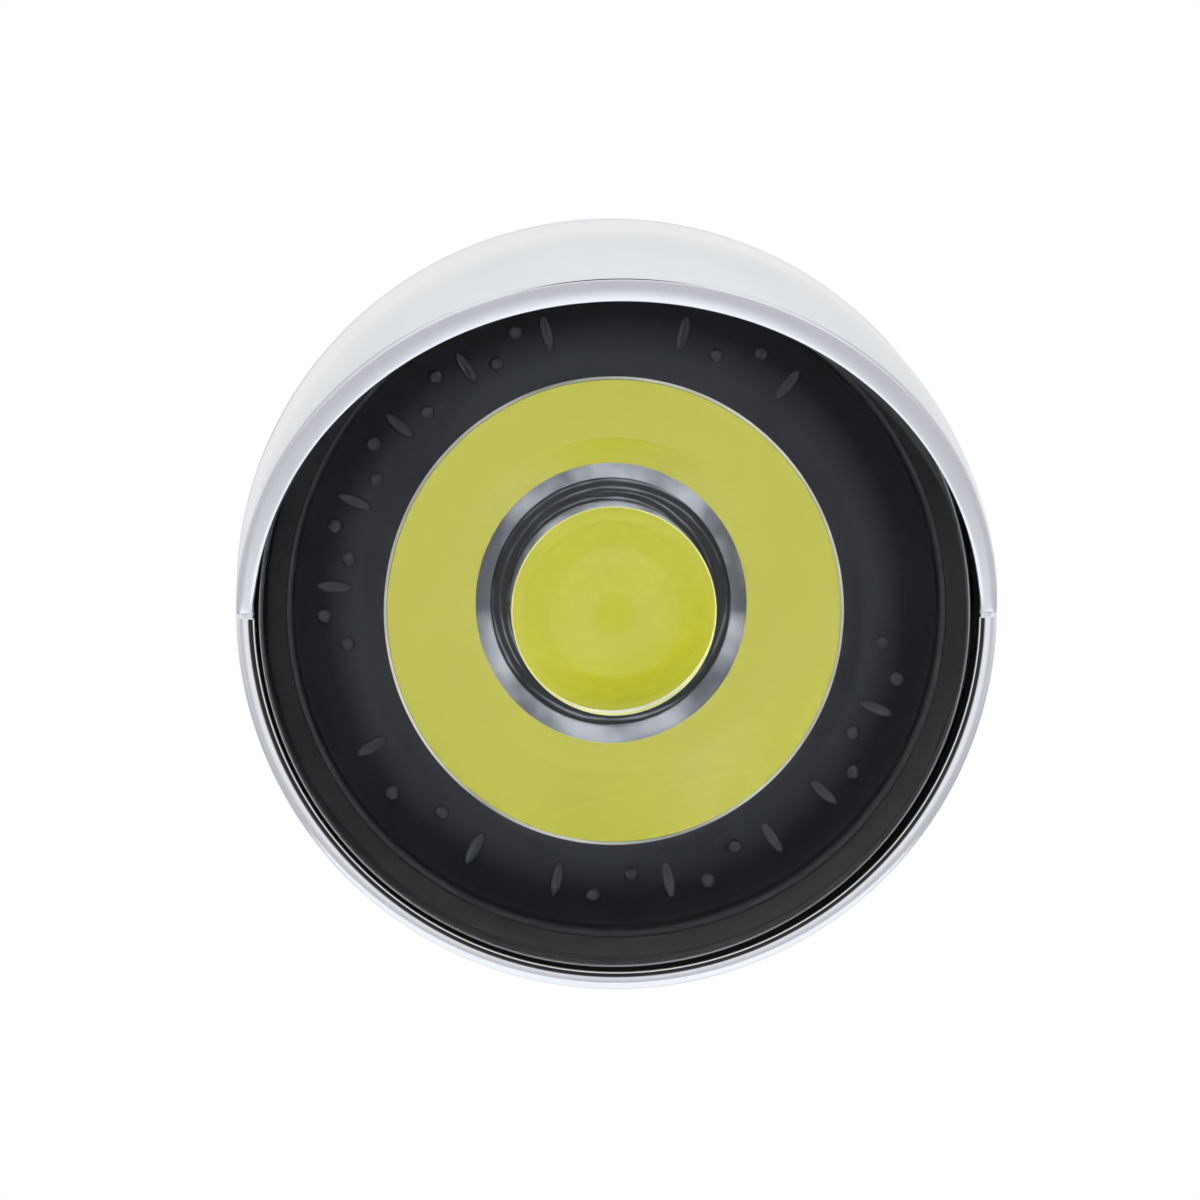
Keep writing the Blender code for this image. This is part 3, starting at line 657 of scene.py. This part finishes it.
def face_ticks():
    """Low moulded ticks and dots round the dark face, in five plain runs."""
    runs = ((104, 188, 15), (52, 76, 4), (-42, -8, 6), (-102, -56, 7), (-150, -120, 4))
    forms = (((1.5, 0.52), 0.0), ((0.62, 0.62), 0.45), ((0.62, 0.62), -0.45))
    run_r, height = 11.9, 0.34
    bm = bmesh.new()
    for first, last, count in runs:
        for k in range(count):
            angle = math.radians(first + (last - first) * k / (count - 1))
            size, offset = forms[k % 3]
            made = bmesh.ops.create_uvsphere(bm, u_segments=24, v_segments=16, radius=0.5)["verts"]
            bmesh.ops.scale(bm, vec=(*size, height), verts=made)
            bmesh.ops.translate(bm, vec=(run_r + offset, 0, FACE_Z), verts=made)
            bmesh.ops.rotate(bm, cent=(0, 0, 0), matrix=Matrix.Rotation(angle, 3, "Z"), verts=made)
    for v in bm.verts:
        v.co = world(*v.co)
    mesh = bpy.data.meshes.new("face_ticks")
    bm.to_mesh(mesh)
    bm.free()
    mesh.shade_smooth()
    mesh.materials.append(gloss_black)
    obj = bpy.data.objects.new("face_ticks", mesh)
    bpy.context.scene.collection.objects.link(obj)
    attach(obj, "lamp")


def edge_ring():
    """A glowing ring where the collimator's wall meets its flange, a painted highlight."""
    top = LENS_FRONT - FLANGE - 0.03
    inner, outer = COLLIMATOR_R + 0.02, COLLIMATOR_R + 0.13
    profile = [(inner, top), (outer, top), (outer, top - 0.12), (inner, top - 0.12)]
    lathe("collimator_edge_painted_highlight", profile, edge_painted_highlight_look, "lamp", 256, 25, seated)


def lens_edge_painted_highlight():
    """A glowing ring that paints the light caught all round the lens's outer edge."""
    top = LENS_FRONT - LENS_ROUND
    inner, outer = LENS_R + 0.01, LENS_R + 0.06
    profile = [(inner, top), (outer, top - 0.02), (outer, top - 0.2), (inner, top - 0.2)]
    lathe("lens_edge_painted_highlight", profile, rim_painted_highlight, "lamp", 256, 25, seated)


def pocket_painted_highlight():
    """A thin glowing line round the pocket's ceiling, wider at its foot: a painted highlight."""
    top = LED_Z + POCKET_CEILING - 0.06
    rows = []
    for outer, z in ((True, top), (True, top - 0.06), (False, top - 0.06), (False, top)):
        row = []
        for angle in around(192):
            low = max(0.0, -math.sin(angle - 0.25)) ** 3
            radius = POCKET_R - 0.02 if outer else POCKET_R - 0.07 - 0.16 * low
            row.append(seated(*on_circle(radius, angle, z)))
        rows.append(row)
    grid_object("pocket_painted_highlight", rows, True, True, pocket_painted_highlight_look, "lamp")


def led():
    top, low = package_high.z, package_low.z
    cup = top - 1.1
    profile = [(3.5, top), (4.0, top - 0.5), (4.0, low), (3.0, low), (3.0, cup), (2.35, cup), (2.35, top)]
    obj = lathe("emitter_package", rounded(profile, (0.1, 0.1, 0, 0, 0, 0, 0.1)), white, "lamp", 96)
    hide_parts("led_package")
    top, low = phosphor_high.z, phosphor_low.z
    obj = lathe("phosphor_disc", [(0, top), (1.0, top), (1.9, top), (2.2, top - 0.15), (2.2, low), (0, low)],
                yellow, "lamp", 96)
    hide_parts("led_phosphor")
    base, radius = dome_low.z, dome_high.x
    sunk = package_high.z - 0.02
    profile = [(0, base + radius)]
    profile += [(radius * math.cos(a), base + radius * math.sin(a))
                for a in (math.radians(90 - 3 * k) for k in range(1, 31))]
    profile += [(radius, sunk), (0, sunk)]      # it touches the package, as a dome cast on it does
    obj = lathe("silicone_dome", profile, silicone, "lamp", 96)
    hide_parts("led_dome")


def rings():
    """A near-black ring in the gap round the lens that paints the shade there, the lens's seal and the
    gasket between the shells.
    """
    top, low = RIM_Z - 0.45, RIM_Z - 1.9
    profile = [(15.33, top), (15.33, low), (15.14, low), (15.14, top)]
    lathe("gap_painted_shade_ring", rounded(profile, (0.05, 0, 0, 0.05)), gap_painted_shade_black, "lamp")
    top, low = seal_high.z, seal_low.z
    profile = rounded([(14.8, top), (14.8, low), (13.9, low), (13.9, top)], (0.15,) * 4)
    obj = lathe("lens_seal_ring", profile, rubber, "lamp")
    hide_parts("lens_seal")
    top, low, outer = gasket_high.z, gasket_low.z, gasket_high.x
    profile = rounded([(outer, top), (outer, low), (14.7, low), (14.7, top)], (0.28, 0.28, 0.1, 0.1))
    obj = lathe("gasket_ring", profile, rubber, "lamp")
    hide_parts("shell_gasket")


# Mount --------------------------------------------------------------------------------------------

def stud():
    """The hollow stud with a real M8 x 1 thread, its turns ending in a chamfer at the tip."""
    top = -0.6
    bottom, flange = stud_low.z, stud_high.z
    segments, turn_rows = 96, 12
    count = int((top - bottom) / THREAD_PITCH * turn_rows)
    plain = [(STUD_BORE_R, flange), (STUD_FLANGE_R, flange), (STUD_FLANGE_R, flange - 0.8),
             (STUD_R, flange - 0.8), (STUD_R, top + 0.4)]
    rows = [[point] * segments for point in plain]
    for i in range(count + 1):
        z = top - (top - bottom) * i / count
        fade = min(1.0, max(0.0, (top - z) / 0.8))
        tip = max(0.0, 0.5 - (z - bottom))
        row = []
        for k in range(segments):
            phase = ((top - z) / THREAD_PITCH + k / segments) % 1.0
            ridge = abs(phase - 0.5) * 2
            crest = min(1.0, max(0.0, (ridge - 0.12) / 0.76))
            row.append((STUD_R - max(THREAD_DEPTH * (1 - crest) * fade, tip), z))
        rows.append(row)
    rows.append([(STUD_BORE_R + 0.1, bottom)] * segments)
    rows.append([(STUD_BORE_R, bottom + 0.1)] * segments)
    points = [[on_circle(radius, a, z) for a, (radius, z) in zip(around(segments), row)] for row in rows]
    obj = grid_object("threaded_stud", points, True, True, zinc, "lamp")
    obj.data.set_sharp_from_angle(angle=math.radians(35))
    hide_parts("mounting_stud")


def mount_rings():
    top, low, outer = pad_high.z, pad_low.z, pad_high.x
    profile = rounded([(outer, top), (outer, low), (4.3, low), (4.3, top)], (0.4, 0.25, 0.1, 0.1), 5)
    obj = lathe("rubber_pad", profile, rubber, "lamp", 128)
    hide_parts("mounting_pad")
    top, low, outer = washer_high.z, washer_low.z, washer_high.x
    profile = [(outer, top), (outer, low), (WASHER_BORE_R, low), (WASHER_BORE_R, top)]
    obj = lathe("plain_washer", rounded(profile, (0.15, 0.25, 0.1, 0.1)), zinc, "washers", 128)
    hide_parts("flat_washer")


def split_washer():
    """The spring washer: a ring with a narrow gap, and a flat end on each side of it."""
    top, low, outer = spring_high.z, spring_low.z, spring_high.x
    gap = math.radians(5.5)
    start = math.radians(90) + 0.35 + gap / 2
    profile = [(outer, top), (outer, low), (WASHER_BORE_R, low), (WASHER_BORE_R, top)]
    profile = rounded(profile, (0.12,) * 4, 3)
    columns = 96
    angles = [start + (2 * math.pi - gap) * k / columns for k in range(columns + 1)]
    rows = [[on_circle(radius, a, z) for a in angles] for radius, z in profile]
    obj = grid_object("split_washer", rows, True, False, zinc, "washers")
    mesh = obj.data
    count = columns + 1
    first = [r * count for r in range(len(profile))]
    last = [r * count + columns for r in range(len(profile))]
    points = [tuple(v.co) for v in mesh.vertices]
    faces = [tuple(p.vertices) for p in mesh.polygons]
    faces += [tuple(first), tuple(reversed(last))]
    mesh.clear_geometry()
    mesh.from_pydata(points, [], faces)
    mesh.shade_smooth()
    mesh.set_sharp_from_angle(angle=math.radians(25))
    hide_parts("spring_washer")


def nut():
    """A hexagon nut whose corners are turned down by a cone at both faces."""
    top, low = nut_high.z, nut_low.z
    angles = around(240)
    turn = math.radians(30)
    corner = NUT_FLAT / math.cos(math.radians(30))
    cone_height, steps = 0.65, 10

    def hexagon(angle):
        part = (angle + turn) % (math.pi / 3) - math.pi / 6
        return min(NUT_FLAT / math.cos(part), corner - 0.12)

    def row(z, cone):
        return [on_circle(min(hexagon(a), cone), a, z) for a in angles]

    def ring(z, radius):
        return [on_circle(radius, a, z) for a in angles]

    rows = [ring(top, NUT_BORE_R + 0.35), ring(top, NUT_FACE_R - 0.03)]
    for k in range(1, steps + 1):
        rows.append(row(top - cone_height * k / steps, NUT_FACE_R + (corner - NUT_FACE_R) * k / steps))
    for k in range(1, 6):
        rows.append(row(top - cone_height - (top - low - 2 * cone_height) * k / 6, corner))
    for k in range(steps + 1):
        rows.append(row(low + cone_height * (1 - k / steps), corner - (corner - NUT_FACE_R) * k / steps))
    rows += [ring(low, NUT_FACE_R - 0.03), ring(low, NUT_BORE_R + 0.35), ring(low + 0.35, NUT_BORE_R),
             ring(top - 0.35, NUT_BORE_R)]
    obj = grid_object("thin_nut", rows, True, True, zinc, "nut")
    obj.data.set_sharp_from_angle(angle=math.radians(20))
    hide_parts("hex_nut")


def grommet():
    end = grommet_low.z
    collar, tail = end + 1.1, end + 5.0
    profile = [(2.05, tail), (2.05, collar), (3.1, collar), (3.1, end + 0.4), (2.7, end), (1.1, end),
               (1.1, tail)]
    obj = lathe("lead_grommet", rounded(profile, (0.1, 0.1, 0.15, 0.2, 0.2, 0.25, 0.1)), rubber, "lamp", 96)
    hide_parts("wire_grommet")


def inner_nodes():
    """The looks of the CAD's own hidden pieces, which keep their shapes."""
    looks = {
        "bezel_screw": zinc, "led_slug": copper, "led_lead_upper": tinned, "led_lead_lower": tinned,
        "star_board": board_white, "thermal_pad": grey_pad, "heat_sink": aluminium,
        "board_screw_left": zinc, "board_screw_right": zinc, "board_spacer": black,
        "driver_board": board_green, "driver_chip": chip_black, "driver_diode": chip_black,
        "driver_capacitor": tantalum, "driver_resistor": chip_black,
        "feed_wire_plus": copper, "feed_wire_minus": copper,
    }
    for name, look in looks.items():
        obj = frame["nodes"][name]
        obj.data.materials.clear()
        obj.data.materials.append(look)


# Stage --------------------------------------------------------------------------------------------

CAMERA_ELEVATION = math.radians(4.7)
CAMERA_AZIMUTH = math.radians(-1.6)
CAMERA_DISTANCE = 0.8
FRAME_WIDTH = 0.05068           # what the picture spans at the lens
AIM_LEFT, AIM_UP = 0.00073, 0.00050


def camera():
    data = bpy.data.cameras.new("main_camera")
    data.sensor_width = 36
    data.lens = 36 * CAMERA_DISTANCE / FRAME_WIDTH
    obj = bpy.data.objects.new("main_camera", data)
    bpy.context.scene.collection.objects.link(obj)
    level = math.cos(CAMERA_ELEVATION)
    away = Vector((math.sin(CAMERA_AZIMUTH) * level, -math.cos(CAMERA_AZIMUTH) * level,
                   math.sin(CAMERA_ELEVATION)))
    right = Vector((math.cos(CAMERA_AZIMUTH), math.sin(CAMERA_AZIMUTH), 0))
    up = away.cross(right)
    lens_centre = Vector(world(0, 0, LENS_FRONT))
    aim = lens_centre - right * AIM_LEFT + up * AIM_UP
    obj.location = aim + away * CAMERA_DISTANCE
    obj.rotation_euler = (-away).to_track_quat("-Z", "Y").to_euler()
    data.clip_start = 0.01
    data.clip_end = 20
    bpy.context.scene.camera = obj


def key_light():
    """A weak soft light from the upper left, seen neither in mirrors nor through the lens."""
    data = bpy.data.lights.new("key", "AREA")
    data.shape = "RECTANGLE"
    data.size = data.size_y = 0.3
    data.energy = 2.5
    obj = bpy.data.objects.new("key", data)
    obj.location = (-0.15, -0.5, 0.6)
    aim = Vector((0, -0.01, 0))
    obj.rotation_euler = (aim - obj.location).to_track_quat("-Z", "Y").to_euler()
    obj.visible_glossy = False
    obj.visible_transmission = False
    bpy.context.scene.collection.objects.link(obj)


# Light that the surroundings send, and where from
CARD_GLOW = (0.03, 0.03, 0.032)         # a dark card straight ahead of the lamp
FRONT_GLOW = (0.90, 0.91, 0.94)
SIDE_GLOW = (0.60, 0.60, 0.65)
BACK_GLOW = (0.84, 0.85, 0.86)
BEHIND_GLOW = (0.50, 0.51, 0.55)        # behind the lamp and below it
LOW_GLOW = (0.62, 0.63, 0.63)
FLOOR_GLOW = (1.05, 1.10, 1.12)
CEILING_GLOW = (0.90, 0.915, 0.93)
SHADE_GLOW = (0.32, 0.32, 0.34)         # between the softboxes
SOFTBOXES = (((-0.52, -0.85, 0.06), (9.0, 9.2, 10.0)), ((0.52, -0.85, 0.10), (7.5, 7.7, 8.6)))


def studio_world():
    """White behind the object; for its reflections, a darker room in front and light all round it."""
    made = bpy.data.worlds.new("studio")
    made.use_nodes = True
    tree = made.node_tree
    coords = tree.nodes.new("ShaderNodeTexCoord")
    axes = tree.nodes.new("ShaderNodeSeparateXYZ")
    tree.links.new(coords.outputs["Generated"], axes.inputs["Vector"])
    path = tree.nodes.new("ShaderNodeLightPath")

    def fading(source, low, high, first, second):
        return blend(tree, remap(tree, source, low, high, kind="SMOOTHSTEP"), first, second)

    y, z = axes.outputs["Y"], axes.outputs["Z"]
    room = fading(y, -0.992, -0.965, CARD_GLOW, FRONT_GLOW)
    room = fading(y, -0.90, -0.5, room, SIDE_GLOW)
    room = fading(y, -0.3, 0.5, room, BACK_GLOW)
    under = fading(z, -0.02, -0.3, room, BEHIND_GLOW)
    room = fading(y, 0.1, 0.5, room, under)
    low = fading(z, -0.74, -0.88, LOW_GLOW, FLOOR_GLOW)
    room = fading(z, -0.35, -0.7, room, low)
    room = fading(z, 0.35, 0.8, room, CEILING_GLOW)
    lit = fading(y, -0.99, -0.96, CARD_GLOW, SHADE_GLOW)
    for aim, power in SOFTBOXES:
        facing = tree.nodes.new("ShaderNodeVectorMath")
        facing.operation = "DOT_PRODUCT"
        tree.links.new(coords.outputs["Generated"], facing.inputs[0])
        facing.inputs[1].default_value = Vector(aim).normalized()
        outer, inner = math.cos(math.radians(17)), math.cos(math.radians(11))
        lit = fading(facing.outputs["Value"], outer, inner, lit, power)
    inside = fading(y, -0.965, -0.90, CARD_GLOW, room)
    room = fading(path.outputs["Transmission Depth"], 0.0, 1.0, room, inside)
    through = fading(path.outputs["Diffuse Depth"], 0.0, 1.0, room, lit)
    seen = blend(tree, path.outputs["Is Camera Ray"], through, (1.0, 1.0, 1.0))
    tree.links.new(seen, tree.nodes["Background"].inputs["Color"])
    return made


FLOOR_Z = -0.06
FLOOR_R = 0.27
FLOOR_FADE = (0.06, 0.26)       # radii between which the floor fades out
POOL_EDGE = (0.060, 0.080)      # and those between which the light pool on it does


def floor_material():
    """A pale floor that fades out, with a pool of light under the lamp for its lower rim to mirror."""
    made, tree, shader = new_material("pale_floor")
    tone = ramp(tree, noise(tree, 60, 3.0), [(0.3, (0.80, 0.79, 0.82)), (0.7, (0.83, 0.82, 0.85))])
    tree.links.new(tone, shader.inputs["Base Color"])
    shader.inputs["Roughness"].default_value = 0.8
    shader.inputs["Emission Color"].default_value = (0.92, 1.0, 1.02, 1)
    length = tree.nodes.new("ShaderNodeVectorMath")
    length.operation = "LENGTH"
    tree.links.new(tree.nodes["Texture Coordinate"].outputs["Object"], length.inputs[0])
    radius = length.outputs["Value"]
    tree.links.new(remap(tree, radius, *FLOOR_FADE, 1.0, 0.0, "SMOOTHSTEP"), shader.inputs["Alpha"])
    pool = remap(tree, radius, *POOL_EDGE, 0.5, 0.0, "SMOOTHSTEP")
    tree.links.new(pool, shader.inputs["Emission Strength"])
    return made


def stage():
    scene = bpy.context.scene
    scene.view_settings.view_transform = "Standard"
    scene.world = studio_world()
    bpy.ops.mesh.primitive_circle_add(vertices=128, radius=FLOOR_R, fill_type="NGON",
                                      location=(0, 0, FLOOR_Z))
    floor = bpy.context.object
    floor.name = "floor"
    floor.data.materials.append(floor_material())
    key_light()


hood_shell()
rear_shell()
lens()
carrier()
foot_rings()
edge_ring()
lens_edge_painted_highlight()
pocket_painted_highlight()
face_ticks()
led()
rings()
stud()
mount_rings()
split_washer()
nut()
grommet()
inner_nodes()
stage()
camera()
